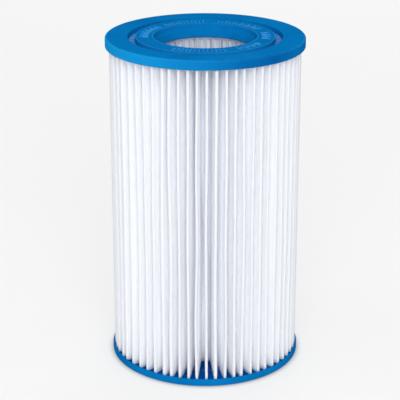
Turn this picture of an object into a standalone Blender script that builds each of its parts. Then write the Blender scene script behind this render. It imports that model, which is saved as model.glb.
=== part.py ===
"""Pleated filter cartridge for an above-ground pool pump, with open ends.

Five pieces: two moulded end caps, a pleated media strip closed into a ring,
the bead of adhesive that closes it, and the slotted core that holds the
pleats open. Metres, +Z up, origin at the centre of the bottom cap's face,
which is the face that the cartridge stands on. The pleat that carries the
seam points along +Y.
"""

import math

import bmesh
import bpy

MM = 0.001
GAP = 0.3 * MM            # clearance between pieces that touch

# Overall sizes
LENGTH = 183.5 * MM       # face to face
TOP_R = 54.0 * MM         # outer radius of the top cap
BOTTOM_R = 53.2 * MM      # outer radius of the bottom cap
TOP_SKIRT = 5.2 * MM      # height of the top cap's outer wall
BOTTOM_SKIRT = 4.0 * MM   # and of the bottom cap's

# Ring features shared by the two caps, as radii and depths below the face
GROOVE_OUT = 41.75 * MM   # groove between the flange and the hub ring
GROOVE_IN = 37.75 * MM
HUB_DROP = 0.4 * MM       # the hub ring lies this far below the flange
BEAD_H = 0.25 * MM        # fine bead along each edge of the hub ring
HUB_IN = 28.1 * MM
CREASE_R = 26.6 * MM      # where the lead-in cone meets the collar's cone
CREASE_DEPTH = 2.5 * MM
BORE_R = 23.3 * MM        # bore at the collar's free end
COLLAR_DEPTH = 6.9 * MM
COLLAR_OUT = 26.3 * MM    # the collar's end is a spigot inside the core
FLOOR_RECESS = 0.5 * MM   # the floor between the pleats lies inside the lip
CORE_SEAT = 3.5 * MM      # depth of the seat for the core's end
TROUGH_IN = 27.9 * MM     # the inner folds stand in a trough round the core
TROUGH_OUT = 30.9 * MM
GROOVE_SKIN = 0.6 * MM    # floor left between the groove and the pleats' ends
LATHE_STEPS = 56

# Pleated media
PLEATS = 60
PITCH = 2 * math.pi / PLEATS
MEDIA_R = 52.05 * MM      # over the outer folds
ROOT_R = 28.2 * MM        # inside the inner folds
MEDIA_T = 0.6 * MM
FOLD_R = 0.7 * MM         # of the sheet's middle, at both folds
SEAM_HALF = 1.0 * MM      # half the distance between the seam's two walls
SEAM_ANGLE = math.pi / 2  # +Y

# Core
CORE_IN = 26.6 * MM
CORE_OUT = 27.6 * MM
CORE_RIBS = 40
CORE_RIB_W = 1.3 * MM
CORE_ROWS = 5
CORE_HOOP = 3.0 * MM
CORE_END = 4.4 * MM       # plain band at each end


def clear_scene():
    for obj in list(bpy.data.objects):
        bpy.data.objects.remove(obj, do_unlink=True)


def collection(name):
    found = bpy.data.collections.new(name)
    bpy.context.scene.collection.children.link(found)
    return found


def material(name, rgb, roughness):
    made = bpy.data.materials.new(name)
    made.use_nodes = True
    shader = made.node_tree.nodes["Principled BSDF"]
    shader.inputs["Base Color"].default_value = (*rgb, 1.0)
    shader.inputs["Roughness"].default_value = roughness
    shader.inputs["Metallic"].default_value = 0.0
    made.diffuse_color = (*rgb, 1.0)
    return made


def add_object(name, mesh, into, mat=None):
    obj = bpy.data.objects.new(name, mesh)
    into.objects.link(obj)
    if mat:
        mesh.materials.append(mat)
    return obj


def cutter(obj):
    obj.hide_render = True
    obj.display_type = "WIRE"
    return obj


def profile_mesh(name, points):
    """A closed loop of edges in the XZ plane, from (radius, z) pairs."""
    bm = bmesh.new()
    verts = [bm.verts.new((r, 0.0, z)) for r, z in points]
    for a, b in zip(verts, verts[1:] + verts[:1]):
        bm.edges.new((a, b))
    mesh = bpy.data.meshes.new(name)
    bm.to_mesh(mesh)
    bm.free()
    return mesh


def turned(name, points, into, mat=None, steps=LATHE_STEPS):
    obj = add_object(name, profile_mesh(name, points), into, mat)
    screw = obj.modifiers.new("Turn", "SCREW")
    screw.axis = "Z"
    screw.angle = 2 * math.pi
    screw.steps = steps
    screw.render_steps = steps
    screw.use_merge_vertices = True
    screw.merge_threshold = 0.00001
    screw.use_smooth_shade = True
    return obj


def rounded(corner, towards_a, towards_b, radius, steps=2):
    """Points that replace a right-angled corner by an arc, from side a to side b."""
    (cx, cz), (ax, az), (bx, bz) = corner, towards_a, towards_b
    centre = (cx + (ax + bx) * radius, cz + (az + bz) * radius)
    made = []
    for i in range(steps + 1):
        t = math.pi / 2 * i / steps
        made.append((
            centre[0] - (bx * math.cos(t) + ax * math.sin(t)) * radius,
            centre[1] - (bz * math.cos(t) + az * math.sin(t)) * radius,
        ))
    return made


def cap_profile(outer, skirt, flip):
    """The cap's section as (radius, depth below the face), down the outer side first."""
    floor = skirt - FLOOR_RECESS
    media_seat = cap_seat(skirt)
    lip_in = MEDIA_R + 0.5 * MM
    groove = groove_depth(skirt)
    points = []
    points += rounded((outer, 0.0), (-1, 0), (0, 1), 0.8 * MM)
    points += rounded((outer, skirt), (0, -1), (-1, 0), 0.3 * MM, 1)
    points += [
        (lip_in, skirt),
        (lip_in, floor),
        (TROUGH_OUT, floor),
        (TROUGH_OUT, media_seat),
        (TROUGH_IN, media_seat),
        (TROUGH_IN, CORE_SEAT),
        (COLLAR_OUT, CORE_SEAT),
        (COLLAR_OUT, COLLAR_DEPTH),
        (BORE_R, COLLAR_DEPTH),
        (CREASE_R, CREASE_DEPTH),
        (HUB_IN, HUB_DROP - BEAD_H),
        (HUB_IN + 0.6 * MM, HUB_DROP - BEAD_H),
        (HUB_IN + 0.9 * MM, HUB_DROP),
        (GROOVE_IN - 0.9 * MM, HUB_DROP),
        (GROOVE_IN - 0.6 * MM, HUB_DROP - BEAD_H),
        (GROOVE_IN, HUB_DROP - BEAD_H),
        (GROOVE_IN, groove),
        (GROOVE_OUT, groove),
        (GROOVE_OUT, 0.0),
    ]
    if flip:
        return [(r, d) for r, d in reversed(points)]
    return [(r, LENGTH - d) for r, d in points]


def groove_depth(skirt):
    return skirt - 2.5 * MM


def cap_seat(skirt):
    return groove_depth(skirt) + GROOVE_SKIN


def fold_half(radius):
    """Half the width of a pleat's middle line at a radius, from tip to root."""
    root = ROOT_R + MEDIA_T / 2 + FOLD_R
    tip = MEDIA_R - MEDIA_T / 2 - FOLD_R
    at_root = root * math.sin(PITCH / 2) - FOLD_R
    share = (radius - root) / (tip - root)
    return at_root + (FOLD_R - at_root) * share


def media_line(tip_steps=3, root_steps=2):
    """The sheet's middle line as an open loop of XY points, from one side of the seam to the other."""
    root_c = ROOT_R + MEDIA_T / 2 + FOLD_R
    tip_c = MEDIA_R - MEDIA_T / 2 - FOLD_R
    seam_tip = MEDIA_R - 0.2 * MM
    points = []

    def put(radius, offset, angle):
        points.append((
            radius * math.cos(angle) - offset * math.sin(angle),
            radius * math.sin(angle) + offset * math.cos(angle),
        ))

    for i in range(PLEATS):
        angle = SEAM_ANGLE + i * PITCH
        if i == 0:
            put(seam_tip, SEAM_HALF, angle)
            put(root_c + 6 * MM, fold_half(root_c + 6 * MM), angle)
        else:
            for k in range(tip_steps + 1):
                t = math.pi * k / tip_steps
                put(tip_c + FOLD_R * math.sin(t), -FOLD_R * math.cos(t), angle)
        valley = angle + PITCH / 2
        for k in range(root_steps + 1):
            t = math.pi * k / root_steps
            put(root_c - FOLD_R * math.sin(t), -FOLD_R * math.cos(t), valley)
    put(root_c + 6 * MM, -fold_half(root_c + 6 * MM), SEAM_ANGLE)
    put(seam_tip, -SEAM_HALF, SEAM_ANGLE)
    return points


def media_ends():
    low = cap_seat(BOTTOM_SKIRT) + GAP
    high = LENGTH - cap_seat(TOP_SKIRT) - GAP
    return low, high


def build_media(into, mat):
    low, high = media_ends()
    bm = bmesh.new()
    line = [bm.verts.new((x, y, low)) for x, y in media_line()]
    edges = [bm.edges.new(pair) for pair in zip(line, line[1:])]
    raised = bmesh.ops.extrude_edge_only(bm, edges=edges)["geom"]
    for vert in raised:
        if isinstance(vert, bmesh.types.BMVert):
            vert.co.z = high
    mesh = bpy.data.meshes.new("pleated_media")
    bm.to_mesh(mesh)
    bm.free()
    obj = add_object("pleated_media", mesh, into, mat)
    solid = obj.modifiers.new("Thickness", "SOLIDIFY")
    solid.thickness = MEDIA_T
    solid.offset = 0.0
    solid.use_even_offset = True
    return obj


def box_mesh(name, size, centre):
    bm = bmesh.new()
    bmesh.ops.create_cube(bm, size=1.0)
    for vert in bm.verts:
        vert.co = [c + v * s for c, v, s in zip(centre, vert.co, size)]
    mesh = bpy.data.meshes.new(name)
    bm.to_mesh(mesh)
    bm.free()
    return mesh


def build_bead(into, mat):
    """Hot-melt bead between the seam pleat's two walls."""
    low, high = media_ends()
    thick = 2 * (SEAM_HALF - MEDIA_T / 2 - GAP)
    inner, outer = 43.0 * MM, MEDIA_R - 0.3 * MM
    low, high = low + 2.0 * MM, high - 2.0 * MM
    mesh = box_mesh(
        "seam_bead",
        (thick, outer - inner, high - low),
        (0.0, (inner + outer) / 2, (low + high) / 2),
    )
    obj = add_object("seam_bead", mesh, into, mat)
    bevel = obj.modifiers.new("Round", "BEVEL")
    bevel.width = 0.2 * MM
    bevel.segments = 1
    return obj


def star_cutter(name, skirt, flip, into):
    """Pockets for the ends of all the pleats: one bar for each, wider than the pleat by a clearance."""
    seat = cap_seat(skirt)
    inner, outer = 30.0 * MM, MEDIA_R + 0.35 * MM
    bm = bmesh.new()
    for i in range(PLEATS):
        angle = SEAM_ANGLE + i * PITCH
        half = (SEAM_HALF if i == 0 else FOLD_R) + MEDIA_T / 2 + GAP
        near = fold_half(inner) + MEDIA_T / 2 + 0.25 * MM
        cube = bmesh.ops.create_cube(bm, size=1.0)["verts"]
        for vert in cube:
            wide = half if vert.co.x > 0 else near
            radius = outer if vert.co.x > 0 else inner
            offset = wide if vert.co.y > 0 else -wide
            depth = skirt + 1.0 * MM if vert.co.z > 0 else seat
            z = depth if flip else LENGTH - depth
            vert.co = (
                radius * math.cos(angle) - offset * math.sin(angle),
                radius * math.sin(angle) + offset * math.cos(angle),
                z,
            )
    bmesh.ops.recalc_face_normals(bm, faces=bm.faces)
    mesh = bpy.data.meshes.new(name)
    bm.to_mesh(mesh)
    bm.free()
    return cutter(add_object(name, mesh, into))


def build_cap(name, outer, skirt, flip, into, cutters, mat):
    cap = turned(name, cap_profile(outer, skirt, flip), into, mat)
    cut = cap.modifiers.new("Pleat_pockets", "BOOLEAN")
    cut.operation = "DIFFERENCE"
    cut.solver = "EXACT"
    cut.object = star_cutter(name + "_pockets", skirt, flip, cutters)
    return cap


def build_core(into, mat):
    """A tube wall with slots between the ribs and hoops, thickened outwards."""
    low = CORE_SEAT + GAP
    high = LENGTH - CORE_SEAT - GAP
    first, last = low + CORE_END, high - CORE_END
    row = (last - first - (CORE_ROWS - 1) * CORE_HOOP) / CORE_ROWS
    levels = [low]
    for i in range(CORE_ROWS):
        start = first + i * (row + CORE_HOOP)
        levels += [start, start + row]
    levels.append(high)
    rib = CORE_RIB_W / CORE_IN
    step = 2 * math.pi / CORE_RIBS
    bm = bmesh.new()
    rings = []
    for z in levels:
        ring = []
        for i in range(CORE_RIBS):
            for side in (-0.5, 0.5):
                angle = i * step + side * rib
                ring.append(bm.verts.new((CORE_IN * math.cos(angle), CORE_IN * math.sin(angle), z)))
        rings.append(ring)
    count = 2 * CORE_RIBS
    for level in range(len(levels) - 1):
        slots = level % 2 == 1
        for i in range(count):
            if slots and i % 2 == 1:
                continue
            j = (i + 1) % count
            bm.faces.new((rings[level][i], rings[level][j], rings[level + 1][j], rings[level + 1][i]))
    mesh = bpy.data.meshes.new("core_tube")
    bm.to_mesh(mesh)
    bm.free()
    obj = add_object("core_tube", mesh, into, mat)
    solid = obj.modifiers.new("Wall", "SOLIDIFY")
    solid.thickness = CORE_OUT - CORE_IN
    solid.offset = 1.0
    solid.use_even_offset = True
    return obj


def main():
    clear_scene()
    parts = collection("filter_cartridge")
    cutters = collection("cutters")
    blue = material("cap_blue", (0.0, 0.17, 0.46), 0.45)
    white = material("media_white", (0.86, 0.88, 0.92), 0.9)
    core = material("core_white", (0.82, 0.82, 0.84), 0.5)
    glue = material("bead_clear", (0.85, 0.83, 0.74), 0.35)
    build_cap("top_end_cap", TOP_R, TOP_SKIRT, False, parts, cutters, blue)
    build_cap("bottom_end_cap", BOTTOM_R, BOTTOM_SKIRT, True, parts, cutters, blue)
    build_media(parts, white)
    build_bead(parts, glue)
    build_core(parts, core)


main()
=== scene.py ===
"""Visual model of the pleated filter cartridge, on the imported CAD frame."""

import math
import random

import bpy
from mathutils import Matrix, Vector, noise


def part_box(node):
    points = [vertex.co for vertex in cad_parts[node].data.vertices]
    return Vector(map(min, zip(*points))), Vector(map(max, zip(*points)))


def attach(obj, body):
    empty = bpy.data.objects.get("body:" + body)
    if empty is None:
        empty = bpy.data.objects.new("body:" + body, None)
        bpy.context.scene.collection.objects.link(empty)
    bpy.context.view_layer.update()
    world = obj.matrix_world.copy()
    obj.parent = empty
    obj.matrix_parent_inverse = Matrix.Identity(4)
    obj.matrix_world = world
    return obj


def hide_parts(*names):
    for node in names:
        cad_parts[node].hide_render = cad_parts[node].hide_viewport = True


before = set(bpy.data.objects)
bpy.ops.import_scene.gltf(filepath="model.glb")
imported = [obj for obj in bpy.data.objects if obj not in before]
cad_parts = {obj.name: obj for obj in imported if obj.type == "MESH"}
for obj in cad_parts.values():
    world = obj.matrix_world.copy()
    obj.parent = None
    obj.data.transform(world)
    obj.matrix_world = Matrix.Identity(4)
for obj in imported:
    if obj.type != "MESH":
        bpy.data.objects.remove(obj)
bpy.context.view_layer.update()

MM = 0.001
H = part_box("top_end_cap")[1].z          # length, face to face
TOP_R = 54.0 * MM
BOTTOM_R = 52.95 * MM
TOP_SKIRT = 5.2 * MM
BOTTOM_SKIRT = 4.0 * MM
PLEATS = 60
PITCH = 2 * math.pi / PLEATS
SEAM = math.pi / 2
rng = random.Random(11)


# ---------------------------------------------------------------- mesh helpers
def new_object(name, mesh, mats, body="root", smooth_angle=35.0):
    obj = bpy.data.objects.new(name, mesh)
    bpy.context.scene.collection.objects.link(obj)
    for mat in mats:
        mesh.materials.append(mat)
    mesh.shade_smooth()
    if smooth_angle is not None:
        mesh.set_sharp_from_angle(angle=math.radians(smooth_angle))
    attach(obj, body)
    return obj


def arc_corner(prev, here, after, radius, steps):
    """Points of a fillet of that radius at a corner of a section."""
    a = Vector(prev) - Vector(here)
    b = Vector(after) - Vector(here)
    la, lb = a.length, b.length
    a.normalize()
    b.normalize()
    cosine = max(-1.0, min(1.0, a.dot(b)))
    half = math.acos(cosine) / 2
    if radius <= 0 or half > math.radians(88):
        return [Vector(here)]
    cut = min(radius / math.tan(half), 0.45 * la, 0.45 * lb)
    radius = cut * math.tan(half)
    centre = Vector(here) + (a + b).normalized() * (radius / math.sin(half))
    start = Vector(here) + a * cut - centre
    end = Vector(here) + b * cut - centre
    total = math.atan2(start.x * end.y - start.y * end.x, start.dot(end))
    made = []
    for i in range(steps + 1):
        t = total * i / steps
        made.append(centre + Vector((
            start.x * math.cos(t) - start.y * math.sin(t),
            start.x * math.sin(t) + start.y * math.cos(t),
        )))
    return made


def section(corners, steps=4):
    """A closed section from (r, z, fillet radius) corners."""
    n = len(corners)
    points = []
    for i, (r, z, radius) in enumerate(corners):
        points += arc_corner(corners[i - 1][:2], (r, z), corners[(i + 1) % n][:2], radius, steps)
    return points


def lathe(points, steps, wobble=None):
    """Vertices and faces of a closed section turned about Z."""
    verts, faces = [], []
    n = len(points)
    for k in range(steps):
        angle = 2 * math.pi * k / steps
        c, s = math.cos(angle), math.sin(angle)
        for p in points:
            r, z = p[0], p[1]
            if wobble:
                r, z = wobble(r, z, angle)
            verts.append((r * c, r * s, z))
    for k in range(steps):
        k2 = (k + 1) % steps
        for i in range(n):
            j = (i + 1) % n
            faces.append((k * n + i, k * n + j, k2 * n + j, k2 * n + i))
    return verts, faces


def mesh_from(name, verts, faces):
    mesh = bpy.data.meshes.new(name)
    mesh.from_pydata([tuple(v) for v in verts], [], faces)
    mesh.update()
    return mesh


# ------------------------------------------------------------------- materials
def node_material(name, base, roughness, metallic=0.0):
    mat = bpy.data.materials.new(name)
    mat.use_nodes = True
    tree = mat.node_tree
    shader = tree.nodes["Principled BSDF"]
    shader.inputs["Base Color"].default_value = (*base, 1.0)
    shader.inputs["Roughness"].default_value = roughness
    shader.inputs["Metallic"].default_value = metallic
    return mat, tree, shader


def add(tree, kind, **settings):
    node = tree.nodes.new(kind)
    for key, value in settings.items():
        setattr(node, key, value)
    return node


def object_coords(tree, scale=(1, 1, 1)):
    coord = add(tree, "ShaderNodeTexCoord")
    mapping = add(tree, "ShaderNodeMapping")
    mapping.inputs["Scale"].default_value = scale
    tree.links.new(coord.outputs["Object"], mapping.inputs["Vector"])
    return mapping.outputs["Vector"]


def noise_tex(tree, vector, scale, detail=4.0, rough=0.55, distortion=0.0):
    tex = add(tree, "ShaderNodeTexNoise")
    tex.inputs["Scale"].default_value = scale
    tex.inputs["Detail"].default_value = detail
    tex.inputs["Roughness"].default_value = rough
    tex.inputs["Distortion"].default_value = distortion
    tree.links.new(vector, tex.inputs["Vector"])
    return tex


def ramp(tree, value, stops):
    node = add(tree, "ShaderNodeValToRGB")
    elements = node.color_ramp.elements
    while len(elements) < len(stops):
        elements.new(0.5)
    for element, (place, colour) in zip(elements, stops):
        element.position = place
        element.color = (*colour, 1.0) if len(colour) == 3 else colour
    tree.links.new(value, node.inputs["Fac"])
    return node


def math_node(tree, op, a, b=None):
    node = add(tree, "ShaderNodeMath", operation=op)
    for socket, value in zip(node.inputs, (a, b)):
        if value is None:
            continue
        if isinstance(value, (int, float)):
            socket.default_value = value
        else:
            tree.links.new(value, socket)
    return node.outputs[0]


def map_range(tree, value, lo, hi, to_lo, to_hi):
    node = add(tree, "ShaderNodeMapRange")
    node.inputs["From Min"].default_value = lo
    node.inputs["From Max"].default_value = hi
    node.inputs["To Min"].default_value = to_lo
    node.inputs["To Max"].default_value = to_hi
    tree.links.new(value, node.inputs["Value"])
    return node.outputs["Result"]


def mix_colour(tree, factor, a, b, blend="MIX"):
    node = add(tree, "ShaderNodeMix", data_type="RGBA", blend_type=blend)
    for socket, value in ((node.inputs[0], factor), (node.inputs[6], a), (node.inputs[7], b)):
        if isinstance(value, (int, float)):
            socket.default_value = value
        elif isinstance(value, (tuple, list)):
            socket.default_value = (*value, 1.0) if len(value) == 3 else value
        else:
            tree.links.new(value, socket)
    return node.outputs[2]


def bump(tree, height, strength, distance, normal=None):
    node = add(tree, "ShaderNodeBump")
    node.inputs["Strength"].default_value = strength
    node.inputs["Distance"].default_value = distance
    tree.links.new(height, node.inputs["Height"])
    if normal is not None:
        tree.links.new(normal, node.inputs["Normal"])
    return node.outputs["Normal"]


def axis_distance(tree):
    """The distance of the shaded point from the object's axis."""
    coord = add(tree, "ShaderNodeTexCoord")
    split = add(tree, "ShaderNodeSeparateXYZ")
    tree.links.new(coord.outputs["Object"], split.inputs[0])
    return math_node(tree, "SQRT", math_node(
        tree, "ADD", math_node(tree, "POWER", split.outputs["X"], 2.0), math_node(tree, "POWER", split.outputs["Y"], 2.0)))


def axis_angle(tree):
    """The angle of the shaded point about the object's axis."""
    coord = add(tree, "ShaderNodeTexCoord")
    split = add(tree, "ShaderNodeSeparateXYZ")
    tree.links.new(coord.outputs["Object"], split.inputs[0])
    return math_node(tree, "ARCTAN2", split.outputs["Y"], split.outputs["X"])


def radius_band(tree, radius, lo, hi, soft=0.00015):
    """1 where the distance from the axis is between lo and hi."""
    up = map_range(tree, radius, lo - soft, lo + soft, 0.0, 1.0)
    down = map_range(tree, radius, hi - soft, hi + soft, 1.0, 0.0)
    return math_node(tree, "MULTIPLY", up, down)


def height_band(tree, lo, hi, soft=0.00010):
    """1 where the height is between lo and hi."""
    coord = add(tree, "ShaderNodeTexCoord")
    split = add(tree, "ShaderNodeSeparateXYZ")
    tree.links.new(coord.outputs["Object"], split.inputs[0])
    up = map_range(tree, split.outputs["Z"], lo - soft, lo + soft, 0.0, 1.0)
    down = map_range(tree, split.outputs["Z"], hi - soft, hi + soft, 1.0, 0.0)
    return math_node(tree, "MULTIPLY", up, down)


def cap_material(name, paler=0.0):
    """Moulded soft vinyl: faint flow mottling, a fine matt texture, and painted highlights on the edges, beads and
    raised marks, with painted light and shade on the top side wall and the bottom floor.
    """
    mat, tree, shader = node_material(name, (0.0, 0.19, 0.52), 0.42)
    vec = object_coords(tree)
    broad = noise_tex(tree, vec, 38.0, 3.0, 0.5, 0.4)
    fine = noise_tex(tree, vec, 520.0, 3.0, 0.6)
    grain = noise_tex(tree, vec, 2600.0, 2.0, 0.55)
    base = ramp(tree, broad.outputs["Fac"], [
        (0.28, (0.0012, 0.144, 0.404)),
        (0.52, (0.0018, 0.165, 0.456)),
        (0.78, (0.0026, 0.179, 0.484)),
    ])
    speck = ramp(tree, fine.outputs["Fac"], [(0.30, (0.90, 0.92, 0.94)), (0.62, (1.0, 1.0, 1.0))])
    colour = mix_colour(tree, 0.8, base.outputs["Color"], speck.outputs["Color"], "MULTIPLY")
    radius = axis_distance(tree)
    # painted highlight: the flange's outer edges are painted paler, mottled by the fine noise
    top_edge = math_node(tree, "MULTIPLY", radius_band(tree, radius, 0.0529, 0.0545), height_band(tree, 0.1826, 0.1840))
    low_edge = math_node(tree, "MULTIPLY", radius_band(tree, radius, 0.0520, 0.0545), height_band(tree, -0.0010, 0.0007))
    edge = math_node(tree, "ADD", top_edge, low_edge)
    painted_edge_highlight = math_node(tree, "MULTIPLY", edge, map_range(tree, fine.outputs["Fac"], 0.35, 0.65, 0.10, 0.45))
    colour = mix_colour(tree, painted_edge_highlight, colour, (0.016, 0.250, 0.590))
    # painted highlight: the fine beads round the hub ring are painted paler, mottled by the fine noise
    beads = math_node(tree, "ADD", radius_band(tree, radius, 0.0279, 0.0288), radius_band(tree, radius, 0.0370, 0.0378))
    painted_bead_highlight = math_node(tree, "MULTIPLY", beads, map_range(tree, fine.outputs["Fac"], 0.3, 0.7, 0.30, 0.62))
    colour = mix_colour(tree, painted_bead_highlight, colour, (0.020, 0.240, 0.560))
    # the pleats' ends show, paler, through the thin skin at the groove's floor
    turn = math_node(tree, "MULTIPLY", axis_angle(tree), 60.0)
    pleats = map_range(tree, math_node(tree, "COSINE", turn), -0.6, 0.9, 0.12, 0.50)
    cloudy = map_range(tree, broad.outputs["Fac"], 0.3, 0.7, 0.75, 1.1)
    floor = radius_band(tree, radius, 0.0380, 0.0414)
    seen = math_node(tree, "MULTIPLY", floor, math_node(tree, "MULTIPLY", pleats, cloudy))
    colour = mix_colour(tree, seen, colour, (0.270, 0.380, 0.600))
    # painted light and shade: the top cap's side wall is graded, from lighter at -X to deeper towards +X, and lighter
    # again at the +X end
    wall = math_node(tree, "MULTIPLY", radius_band(tree, radius, 0.0532, 0.0560), height_band(tree, 0.1700, 0.1900))
    coord = add(tree, "ShaderNodeTexCoord")
    split = add(tree, "ShaderNodeSeparateXYZ")
    tree.links.new(coord.outputs["Object"], split.inputs[0])
    shade = ramp(tree, map_range(tree, split.outputs["X"], -0.050, 0.050, 0.0, 1.0), [
        (0.0, (1.0, 1.0, 1.0)), (0.5, (0.75, 0.75, 0.80)), (0.86, (0.63, 0.64, 0.74)), (1.0, (1.0, 1.0, 1.0))])
    colour = mix_colour(tree, wall, colour, shade.outputs["Color"], "MULTIPLY")
    painted_side_light = math_node(tree, "MULTIPLY", wall, map_range(tree, split.outputs["X"], -0.050, 0.020, 0.90, 0.0))
    colour = mix_colour(tree, painted_side_light, colour, (0.008, 0.285, 0.640))
    # painted shade: the bottom cap's inner floor, between the pleats, is multiplied to a deeper blue
    inner = math_node(tree, "MULTIPLY", radius_band(tree, radius, 0.0281, 0.0520, 0.0002),
                      height_band(tree, 0.0030, 0.0042))
    colour = mix_colour(tree, inner, colour, (0.5, 0.48, 0.66), "MULTIPLY")
    # painted highlight: the raised marks' material is painted paler, for the light their faces catch
    if paler:
        colour = mix_colour(tree, paler, colour, (0.045, 0.300, 0.640))
    tree.links.new(colour, shader.inputs["Base Color"])
    tree.links.new(map_range(tree, fine.outputs["Fac"], 0.3, 0.7, 0.34, 0.50), shader.inputs["Roughness"])
    shader.inputs["Specular IOR Level"].default_value = 0.0
    n1 = bump(tree, broad.outputs["Fac"], 0.25, 0.00035)
    n2 = bump(tree, fine.outputs["Fac"], 0.30, 0.00006, n1)
    tree.links.new(bump(tree, grain.outputs["Fac"], 0.25, 0.00002, n2), shader.inputs["Normal"])
    return mat


def media_material(name):
    """Spun-bonded polyester: laid fibres, faint bond points and a cloudy formation, with painted shade graded by
    radius.
    """
    mat, tree, shader = node_material(name, (0.9, 0.91, 0.94), 0.85)
    vec = object_coords(tree)
    cloud = noise_tex(tree, vec, 160.0, 4.0, 0.6)
    along = object_coords(tree, (1.0, 1.0, 0.08))
    fibre = noise_tex(tree, along, 2300.0, 3.0, 0.6, 0.6)
    across = object_coords(tree, (1.0, 1.0, 0.9))
    mat_fibre = noise_tex(tree, across, 1900.0, 4.0, 0.7, 1.4)
    points = add(tree, "ShaderNodeTexVoronoi", feature="SMOOTH_F1")
    points.inputs["Scale"].default_value = 900.0
    tree.links.new(vec, points.inputs["Vector"])
    base = ramp(tree, cloud.outputs["Fac"], [
        (0.25, (0.953, 0.959, 0.972)),
        (0.55, (0.965, 0.970, 0.980)),
        (0.80, (0.972, 0.976, 0.985)),
    ])
    thread = ramp(tree, mat_fibre.outputs["Fac"], [(0.30, (0.985, 0.987, 0.990)), (0.60, (1.0, 1.0, 1.0))])
    colour = mix_colour(tree, 0.6, base.outputs["Color"], thread.outputs["Color"], "MULTIPLY")
    # painted shade: the sheet is greyer over its outermost 5 mm, at the outer folds
    radius = axis_distance(tree)
    outer = map_range(tree, radius, 0.0470, 0.0518, 0.0, 1.0)
    colour = mix_colour(tree, outer, colour, (0.775, 0.789, 0.818), "MULTIPLY")
    # and painted shade: a little greyer towards the inner folds
    inner = map_range(tree, radius, 0.0300, 0.0420, 1.0, 0.0)
    colour = mix_colour(tree, inner, colour, (0.945, 0.949, 0.957), "MULTIPLY")
    tree.links.new(colour, shader.inputs["Base Color"])
    tree.links.new(map_range(tree, cloud.outputs["Fac"], 0.3, 0.7, 0.78, 0.92), shader.inputs["Roughness"])
    shader.inputs["Sheen Weight"].default_value = 0.05
    shader.inputs["Sheen Roughness"].default_value = 0.5
    shader.inputs["Specular IOR Level"].default_value = 0.10
    shader.inputs["Subsurface Weight"].default_value = 0.0
    n1 = bump(tree, cloud.outputs["Fac"], 0.35, 0.00030)
    n2 = bump(tree, mat_fibre.outputs["Fac"], 0.40, 0.00006, n1)
    n3 = bump(tree, fibre.outputs["Fac"], 0.25, 0.00004, n2)
    normal = bump(tree, points.outputs["Distance"], 0.15, 0.00005, n3)
    tree.links.new(normal, shader.inputs["Normal"])
    return mat


def core_material(name):
    """Moulded white polypropylene, satin, with a trace of draw marks."""
    mat, tree, shader = node_material(name, (0.80, 0.80, 0.83), 0.45)
    vec = object_coords(tree)
    broad = noise_tex(tree, vec, 60.0, 3.0)
    marks = noise_tex(tree, object_coords(tree, (1, 1, 0.05)), 900.0, 2.0)
    base = ramp(tree, broad.outputs["Fac"], [(0.3, (0.76, 0.83, 0.960)), (0.7, (0.80, 0.86, 0.975))])
    colour = mix_colour(tree, 0.25, base.outputs["Color"], marks.outputs["Fac"], "MULTIPLY")
    tree.links.new(colour, shader.inputs["Base Color"])
    tree.links.new(map_range(tree, marks.outputs["Fac"], 0.3, 0.7, 0.38, 0.55), shader.inputs["Roughness"])
    tree.links.new(bump(tree, marks.outputs["Fac"], 0.25, 0.00004), shader.inputs["Normal"])
    return mat


def bead_material(name):
    """Cloudy hot-melt adhesive with trapped bubbles."""
    mat, tree, shader = node_material(name, (0.80, 0.78, 0.70), 0.3)
    vec = object_coords(tree)
    cloud = noise_tex(tree, vec, 300.0, 4.0)
    bubbles = add(tree, "ShaderNodeTexVoronoi")
    bubbles.inputs["Scale"].default_value = 900.0
    tree.links.new(vec, bubbles.inputs["Vector"])
    base = ramp(tree, cloud.outputs["Fac"], [(0.3, (0.70, 0.68, 0.58)), (0.7, (0.84, 0.83, 0.77))])
    tree.links.new(base.outputs["Color"], shader.inputs["Base Color"])
    tree.links.new(map_range(tree, cloud.outputs["Fac"], 0.3, 0.7, 0.22, 0.38), shader.inputs["Roughness"])
    tree.links.new(bump(tree, bubbles.outputs["Distance"], 0.3, 0.0002), shader.inputs["Normal"])
    return mat


CAP = cap_material("cap_vinyl")
CAP_MARKS = cap_material("cap_vinyl_raised", 0.80)
MEDIA = media_material("media_spunbond")
CORE = core_material("core_polypropylene")
BEAD = bead_material("bead_adhesive")


# ------------------------------------------------------------------------ caps
def cap_corners(outer, skirt, edge):
    """The cap's section as (radius, depth, fillet), in mm, down the outer side first."""
    o, s = outer / MM, skirt / MM
    floor = s - 0.7
    groove = s - 2.4
    return [
        (o, 0.0, edge),
        (o, s, 0.35),
        (o - 1.05, s, 0.25),
        (o - 1.15, floor, 0.2),
        (27.9, floor, 0.1),
        (27.9, 3.5, 0.1),
        (26.35, 3.5, 0.1),
        (26.2, 6.9, 0.25),
        (23.3, 6.9, 0.35),
        (26.35, 2.75, 0.25),
        (26.95, 2.45, 0.2),
        (27.7, 0.62, 0.15),
        (27.85, 0.08, 0.2),
        (28.75, 0.05, 0.25),
        (29.1, 0.42, 0.12),
        (36.75, 0.42, 0.12),
        (37.0, 0.05, 0.2),
        (37.75, 0.05, 0.22),
        (37.85, groove, 0.2),
        (41.55, groove, 0.2),
        (41.75, 0.05, 0.25),
        (42.6, 0.0, 0.3),
    ]


def build_cap(name, outer, skirt, edge, flip, seed):
    corners = [(r * MM, d * MM, f * MM) for r, d, f in cap_corners(outer, skirt, edge)]
    points = section(corners, 5)
    if not flip:
        points = [Vector((p.x, H - p.y)) for p in points]
        order = points
    else:
        order = [Vector((p.x, p.y)) for p in reversed(points)]
    limit = (outer + 0.00002)

    def wobble(r, z, angle):
        # the mould is true, but the soft rim isn't quite flat or round
        sway = noise.noise(Vector((math.cos(angle) * 1.7, math.sin(angle) * 1.7, seed)))
        share = max(0.0, (r - 0.042) / 0.012)
        return min(r - 0.00001 * share * (1 + sway), limit), z

    verts, faces = lathe(order, 256, wobble)
    return verts, faces


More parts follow.
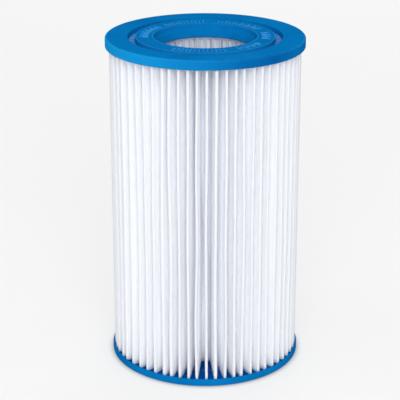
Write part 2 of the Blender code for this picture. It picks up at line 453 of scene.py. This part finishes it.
def bar_block(verts, faces, angle, radius, length, width, base, top, tilt=0.0, flip=False):
    """A small raised bar with sloped sides and a round-ended outline, on a cap's face."""
    outline = []
    r = width / 2
    half = max(length / 2 - r, 0.0)
    for i in range(7):
        t = -math.pi / 2 + math.pi * i / 6
        outline.append((half + r * math.cos(t), r * math.sin(t)))
    for i in range(7):
        t = math.pi / 2 + math.pi * i / 6
        outline.append((-half + r * math.cos(t), r * math.sin(t)))
    n = len(outline)
    first = len(verts)
    rings = [(1.12, base), (1.0, base + (top - base) * 0.55), (0.86, base + (top - base) * 0.9), (0.6, top)]
    c, s = math.cos(angle), math.sin(angle)
    ct, st = math.cos(tilt), math.sin(tilt)
    for scale, z in rings:
        grow = (scale - 1.0) * r
        for x, y in outline:
            length_here = math.hypot(x - math.copysign(min(abs(x), half), x), y) or 1.0
            core_x = math.copysign(min(abs(x), half), x)
            dx, dy = (x - core_x) / length_here, y / length_here
            px, py = x + dx * grow, y + dy * grow
            u, v = px * ct - py * st, px * st + py * ct
            rr, tt = radius + u, v
            verts.append((rr * c - tt * s, rr * s + tt * c, z))
    for k in range(len(rings) - 1):
        for i in range(n):
            j = (i + 1) % n
            quad = (first + k * n + i, first + k * n + j, first + (k + 1) * n + j, first + (k + 1) * n + i)
            faces.append(quad if not flip else quad[::-1])
    cap = [first + (len(rings) - 1) * n + i for i in range(n)]
    foot = [first + i for i in range(n)]
    faces.append(tuple(cap) if not flip else tuple(cap[::-1]))
    faces.append(tuple(foot[::-1]) if not flip else tuple(foot))


def grip_marks(flip, surface):
    """Runs of small raised ticks round the hub ring, long and short in turn, with no lettering."""
    verts, faces = [], []
    runs = [(-119, 13), (-58, 8), (-11, 7), (30, 13), (92, 11), (143, 12)]
    rise = 0.00040
    base, top = (surface - 0.0001, surface + rise) if not flip else (surface + 0.0001, surface - rise)
    for start, count in runs:
        for i in range(count):
            angle = math.radians(start + i * 3.9)
            length = 4.7 if i % 2 == 0 else 3.1
            bar_block(verts, faces, angle, (30.6 + length / 2) * MM, length * MM, 0.55 * MM, base, top, 0.0, flip)
    return verts, faces


def merge(*parts):
    verts, faces = [], []
    for v, f in parts:
        base = len(verts)
        verts += list(v)
        faces += [tuple(i + base for i in face) for face in f]
    return verts, faces


top_shape = build_cap("top_cap", TOP_R, TOP_SKIRT, 0.9, False, 3.1)
top = new_object("top_cap_moulding", mesh_from("top_cap", *top_shape), [CAP])
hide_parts("top_end_cap")
top_marks = new_object("top_cap_grip_marks", mesh_from("top_marks", *grip_marks(False, H - 0.42 * MM)), [CAP_MARKS])

low_shape = build_cap("bottom_cap", BOTTOM_R, BOTTOM_SKIRT, 0.9, True, 7.4)
low = new_object("bottom_cap_moulding", mesh_from("bottom_cap", *low_shape), [CAP])
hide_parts("bottom_end_cap")
low_marks = new_object("bottom_cap_grip_marks", mesh_from("bottom_marks", *grip_marks(True, 0.42 * MM)), [CAP_MARKS])


# ----------------------------------------------------------------------- media
THICK = 0.45 * MM
TIP_R = 52.05 * MM
ROOT_R = 28.2 * MM
MEDIA_LO = (4.0 - 2.4) * MM + 0.12 * MM
MEDIA_HI = H - (5.2 - 2.4) * MM - 0.12 * MM

# Where the pleats' outer folds stand near the bottom, in degrees from the
# front, positive to +X; the packs aren't even on a real cartridge.
FRONT_TIPS = [-71.7, -64.1, -58.5, -51.2, -44.3, -38.3, -32.2, -25.7, -21.0, -15.4, -10.0, -4.8,
              1.0, 6.6, 12.3, 18.2, 22.9, 29.4, 35.2, 40.7, 47.0, 53.0, 59.2]


def tip_angles():
    """All outer folds' angles about +Z from +X, anticlockwise, starting after the seam at +Y."""
    front = [(-90 + a) for a in FRONT_TIPS]              # degrees from +X
    rest_count = PLEATS - len(front)
    gap = 360 - (front[-1] - front[0])
    step = gap / (rest_count + 1)
    rest = []
    for i in range(rest_count):
        rest.append(front[-1] + step * (i + 1) + rng.uniform(-0.55, 0.55))
    # the seam's pleat is the one nearest to +Y
    seam = min(range(rest_count), key=lambda i: abs(rest[i] - 90))
    rest[seam] = 90.0
    full = front + rest
    k = full.index(90.0)
    ordered = full[k:] + [a + 360 for a in full[:k]]
    return [math.radians(a) for a in ordered]


TIPS = tip_angles()
FOLD_SIZES = [rng.uniform(0.86, 1.34) for _ in TIPS]


def sway(i, z, salt, size):
    """A slow wander of a fold along its height, the same on each run."""
    return size * noise.noise(Vector((i * 7.31 + salt, z * 14.0, salt * 1.7)))


def fold_path(z):
    """The sheet's middle line at a height, as (x, y) points."""
    share = (z - MEDIA_LO) / (MEDIA_HI - MEDIA_LO)
    free = math.sin(math.pi * min(1.0, max(0.0, share))) ** 0.6   # held at both ends
    path = []
    tip_fold = 0.56 * MM
    n = len(TIPS)
    tips = []
    for i, angle in enumerate(TIPS):
        if i == 0:
            tips.append(angle)
            continue
        tips.append(angle + free * sway(i, z, 2.0, 0.020) + free * sway(i, z * 0.3, 9.0, 0.022))
    roots = []
    for i in range(n):
        a = TIPS[i]
        b = TIPS[(i + 1) % n] + (2 * math.pi if i == n - 1 else 0)
        roots.append((a + b) / 2 + free * sway(i, z, 5.0, 0.020))

    def put(radius, angle, offset):
        path.append((radius * math.cos(angle) - offset * math.sin(angle),
                     radius * math.sin(angle) + offset * math.cos(angle)))

    wall_n = 7
    for i in range(n):
        angle = tips[i]
        reach = TIP_R - THICK / 2 - 0.05 * MM - (0.25 * MM) * (0.5 + 0.5 * noise.noise(Vector((i * 3.7, z * 9.0, 4.0))))
        fold = tip_fold * FOLD_SIZES[i] * (1.0 + 0.16 * noise.noise(Vector((i * 5.1, z * 11.0, 8.0))))
        centre = reach - fold
        if i == 0:
            put(reach, angle, 0.95 * MM)
        else:
            for k in range(7):
                t = math.pi * k / 6
                put(centre + fold * math.sin(t), angle, -fold * math.cos(t))
        root_angle = roots[i]
        root_fold = 1.18 * MM
        root_centre = ROOT_R + THICK / 2 + root_fold
        start = (tips[i], centre, fold if i else 0.95 * MM)
        end = (root_angle, root_centre, -root_fold)
        belly = 0.55 * MM * free * noise.noise(Vector((i * 2.3 + 31, z * 10.0, 1.0)))
        sx = start[1] * math.cos(start[0]) - start[2] * math.sin(start[0])
        sy = start[1] * math.sin(start[0]) + start[2] * math.cos(start[0])
        ex = end[1] * math.cos(end[0]) - end[2] * math.sin(end[0])
        ey = end[1] * math.sin(end[0]) + end[2] * math.cos(end[0])
        dx, dy = ex - sx, ey - sy
        length = math.hypot(dx, dy)
        for k in range(1, wall_n):
            t = k / wall_n
            bow = belly * math.sin(math.pi * t)
            path.append((sx + dx * t - dy / length * bow, sy + dy * t + dx / length * bow))
        for k in range(5):
            t = math.pi * k / 4
            put(root_centre - root_fold * math.sin(t), root_angle, -root_fold * math.cos(t))
        nxt = (i + 1) % n
        next_angle = tips[nxt] + (2 * math.pi if i == n - 1 else 0)
        next_reach = TIP_R - THICK / 2 - 0.05 * MM - (0.25 * MM) * (0.5 + 0.5 * noise.noise(Vector((nxt * 3.7, z * 9.0, 4.0))))
        next_fold = tip_fold * FOLD_SIZES[nxt] * (1.0 + 0.16 * noise.noise(Vector((nxt * 5.1, z * 11.0, 8.0))))
        off = -next_fold if nxt else -0.95 * MM
        tx_r = next_reach - next_fold
        sx = root_centre * math.cos(root_angle) - root_fold * math.sin(root_angle)
        sy = root_centre * math.sin(root_angle) + root_fold * math.cos(root_angle)
        ex = tx_r * math.cos(next_angle) - off * math.sin(next_angle)
        ey = tx_r * math.sin(next_angle) + off * math.cos(next_angle)
        dx, dy = ex - sx, ey - sy
        length = math.hypot(dx, dy)
        belly = 0.55 * MM * free * noise.noise(Vector((i * 2.9 + 77, z * 10.0, 6.0)))
        for k in range(1, wall_n):
            t = k / wall_n
            bow = belly * math.sin(math.pi * t)
            path.append((sx + dx * t - dy / length * bow, sy + dy * t + dx / length * bow))
    seam_angle = tips[0] + 2 * math.pi
    put(TIP_R - THICK / 2 - 0.4 * MM, seam_angle, -0.95 * MM)
    return path


def build_media():
    levels = 42
    verts, faces = [], []
    count = None
    length_at_mid = 0.0
    for k in range(levels + 1):
        z = MEDIA_LO + (MEDIA_HI - MEDIA_LO) * k / levels
        path = fold_path(z)
        count = len(path)
        verts += [(x, y, z) for x, y in path]
        if k == levels // 2:
            length_at_mid = sum(math.dist(a, b) for a, b in zip(path, path[1:]))
    for k in range(levels):
        for i in range(count - 1):
            a = k * count + i
            faces.append((a, a + 1, a + 1 + count, a + count))
    mesh = mesh_from("media", verts, faces)
    obj = new_object("pleated_media_sheet", mesh, [MEDIA], smooth_angle=None)
    solid = obj.modifiers.new("Thickness", "SOLIDIFY")
    solid.thickness = THICK
    solid.offset = 0.0
    solid.use_even_offset = False
    return obj, length_at_mid


media, sheet_width = build_media()
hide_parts("pleated_media")


# ------------------------------------------------------------------------ bead
def build_seam_bead():
    """A lumpy bead squeezed between the seam's two walls, with its outer edge rounded."""
    lo, hi = MEDIA_LO + 2 * MM, MEDIA_HI - 2 * MM
    levels = 120
    ring = 14
    verts, faces = [], []
    for k in range(levels + 1):
        z = lo + (hi - lo) * k / levels
        swell = 1.0 + 0.10 * noise.noise(Vector((0.3, 0.8, z * 160.0)))
        outer = TIP_R - 0.25 * MM + 0.18 * MM * noise.noise(Vector((4.0, 2.0, z * 130.0)))
        inner = 44.5 * MM + 1.6 * MM * noise.noise(Vector((9.0, 5.0, z * 90.0)))
        half = 0.66 * MM * swell
        mid, reach = (outer + inner) / 2, (outer - inner) / 2
        for i in range(ring):
            t = 2 * math.pi * i / ring
            cx, cy = math.cos(t), math.sin(t)
            x = half * math.copysign(abs(cx) ** 0.55, cx)
            y = mid + reach * math.copysign(abs(cy) ** 0.75, cy)
            verts.append((x, y, z))
    for k in range(levels):
        for i in range(ring):
            j = (i + 1) % ring
            faces.append((k * ring + i, k * ring + j, (k + 1) * ring + j, (k + 1) * ring + i))
    faces.append(tuple(range(ring))[::-1])
    faces.append(tuple(levels * ring + i for i in range(ring)))
    return new_object("seam_adhesive_bead", mesh_from("bead", verts, faces), [BEAD], smooth_angle=60)


bead = build_seam_bead()
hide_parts("seam_bead")


# ------------------------------------------------------------------------ core
def build_core():
    """A slotted tube: ribs and hoops with rounded edges, thickened from a grid."""
    lo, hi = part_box("core_tube")[0].z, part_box("core_tube")[1].z
    ribs, rows, hoop, end = 40, 5, 3.0 * MM, 5.0 * MM
    radius, wall = 27.1 * MM, 1.0 * MM
    first, last = lo + end, hi - end
    row = (last - first - (rows - 1) * hoop) / rows
    levels = [(lo, "band")]
    heights = [lo]
    kinds = []
    for i in range(rows):
        start = first + i * (row + hoop)
        heights += [start, start + row]
        kinds += ["band", "slot"]
    heights.append(hi)
    kinds.append("band")
    rib = 1.3 * MM / radius
    step = 2 * math.pi / ribs
    angles, solid_col = [], []
    for i in range(ribs):
        base = i * step
        angles += [base - rib / 2, base, base + rib / 2, base + rib / 2 + (step - rib) / 2]
        solid_col += [True, True, False, False]
    n = len(angles)
    verts = [(radius * math.cos(a), radius * math.sin(a), z) for z in heights for a in angles]
    faces = []
    for k, kind in enumerate(kinds):
        for i in range(n):
            if kind == "slot" and not solid_col[i]:
                continue
            j = (i + 1) % n
            faces.append((k * n + i, k * n + j, (k + 1) * n + j, (k + 1) * n + i))
    mesh = mesh_from("core", verts, faces)
    obj = new_object("core_slotted_tube", mesh, [CORE], smooth_angle=None)
    solid = obj.modifiers.new("Wall", "SOLIDIFY")
    solid.thickness = wall
    solid.offset = 0.0
    solid.use_even_offset = True
    edge = obj.modifiers.new("Edges", "BEVEL")
    edge.width = 0.18 * MM
    edge.segments = 2
    edge.limit_method = "ANGLE"
    edge.angle_limit = math.radians(40)
    return obj


core = build_core()
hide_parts("core_tube")


# ----------------------------------------------------------------------- stage
def build_floor():
    size, n = 2.4, 24
    verts = [(-size + 2 * size * i / n, -size + 2 * size * j / n, -0.00005) for j in range(n + 1) for i in range(n + 1)]
    faces = [(j * (n + 1) + i, j * (n + 1) + i + 1, (j + 1) * (n + 1) + i + 1, (j + 1) * (n + 1) + i)
             for j in range(n) for i in range(n)]
    obj = bpy.data.objects.new("studio_floor", mesh_from("floor", verts, faces))
    bpy.context.scene.collection.objects.link(obj)
    mat, tree, shader = node_material("floor_paper", (0.35, 0.35, 0.35), 0.9)
    shader.inputs["Specular IOR Level"].default_value = 0.0
    shader.inputs["Emission Color"].default_value = (1.0, 1.0, 1.0, 1.0)
    # painted shadow: the floor's glow is turned down where ambient occlusion finds the object within 5 mm, a contact
    # shadow round the base
    near = add(tree, "ShaderNodeAmbientOcclusion")
    near.inputs["Distance"].default_value = 0.005
    near.samples = 8
    tree.links.new(map_range(tree, near.outputs["AO"], 0.40, 0.85, 0.18, 0.560), shader.inputs["Emission Strength"])
    obj.data.materials.append(mat)
    return obj


build_floor()


def area_light(name, location, target, size, power, colour=(1, 1, 1)):
    data = bpy.data.lights.new(name, "AREA")
    data.shape = "RECTANGLE"
    data.size, data.size_y = size
    data.energy = power
    data.color = colour
    obj = bpy.data.objects.new(name, data)
    bpy.context.scene.collection.objects.link(obj)
    obj.location = location
    obj.rotation_euler = (Vector(target) - Vector(location)).to_track_quat("-Z", "Y").to_euler()
    return obj


area_light("front_soft", (0.08, -1.85, 0.85), (0, 0, 0.09), (1.3, 1.3), 28.0)
area_light("left_soft", (-1.9, -0.10, 0.55), (0, 0, 0.12), (1.2, 1.0), 4.5)
area_light("top_soft", (0.0, -0.9, 1.7), (0, 0, 0.1), (1.2, 1.2), 4.0)
area_light("back_soft", (0.25, 1.75, 1.25), (0, 0, 0.09), (1.5, 1.3), 13.0)


def build_world():
    """A studio tent: bright overhead, dimmer towards the horizon."""
    world = bpy.data.worlds.new("studio")
    bpy.context.scene.world = world
    world.use_nodes = True
    tree = world.node_tree
    coord = add(tree, "ShaderNodeTexCoord")
    split = add(tree, "ShaderNodeSeparateXYZ")
    tree.links.new(coord.outputs["Generated"], split.inputs[0])
    tone = ramp(tree, split.outputs["Z"], [(0.0, (0.5, 0.5, 0.5)), (0.12, (0.10, 0.10, 0.11)), (0.42, (0.16, 0.16, 0.17)),
                                           (0.75, (1.0, 1.0, 1.0))])
    tree.links.new(tone.outputs["Color"], tree.nodes["Background"].inputs["Color"])
    tree.nodes["Background"].inputs["Strength"].default_value = 0.8


build_world()

scene = bpy.context.scene
scene.view_settings.view_transform = "Standard"
scene.view_settings.look = "None"
scene.view_settings.exposure = 0.0
scene.view_settings.gamma = 1.0
scene.cycles.diffuse_bounces = 24
scene.cycles.max_bounces = 26

# ---------------------------------------------------------------------- camera
cam_data = bpy.data.cameras.new("camera")
cam = bpy.data.objects.new("camera", cam_data)
scene.collection.objects.link(cam)
cam_data.sensor_width = 36.0
cam_data.lens = 127.51
cam_data.clip_start, cam_data.clip_end = 0.01, 20.0
cam.location = (0.0, -0.7442, 0.3645)
cam.rotation_euler = (math.radians(90.0 - 20.304), 0.0, math.radians(0.2188))
scene.camera = cam

bpy.context.view_layer.update()
